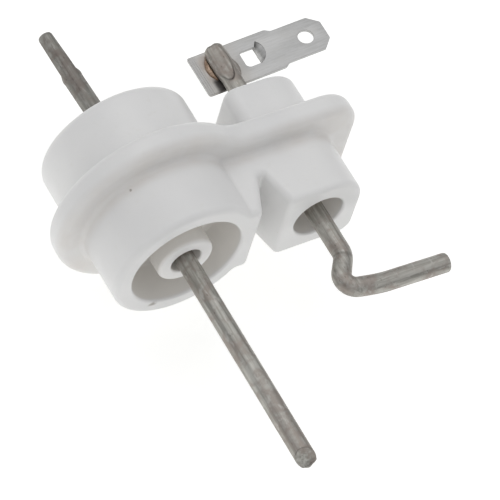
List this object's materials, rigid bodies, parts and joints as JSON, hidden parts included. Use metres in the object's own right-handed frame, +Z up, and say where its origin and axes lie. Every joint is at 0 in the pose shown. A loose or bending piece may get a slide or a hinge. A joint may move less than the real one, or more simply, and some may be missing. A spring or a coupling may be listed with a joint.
{
  "type": "ignition electrode",
  "caption": "Flanged white ceramic block holding a straight spark rod and a bent second rod, with a spade tag welded across the second rod's tail.",
  "frame": {"origin": "on the spark rod's axis, in the plane of the flange's front seating face", "axes": "-Y towards the spark tips (burner side), +Y to the wiring side, +X from the spark rod to the bent rod, +Z up, out of the plane that holds both rods"},
  "size_m": [0.0559, 0.0804, 0.0312],
  "materials": {
    "ceramic": "satin glaze",
    "rod_steel": "drawn heat-resisting wire, dull",
    "tag_steel": "pressed sheet, nickel plated",
    "weld_metal": "heat tinted",
    "cement": "matt"
  },
  "bodies": {
    "root": {"ceramic_insulator": "ceramic", "spark_rod": "rod_steel", "bent_rod": "rod_steel", "spade_tag": "tag_steel", "tag_weld": "weld_metal", "spark_rod_cement": "cement", "bent_rod_cement": "cement"}
  },
  "joints": []
}
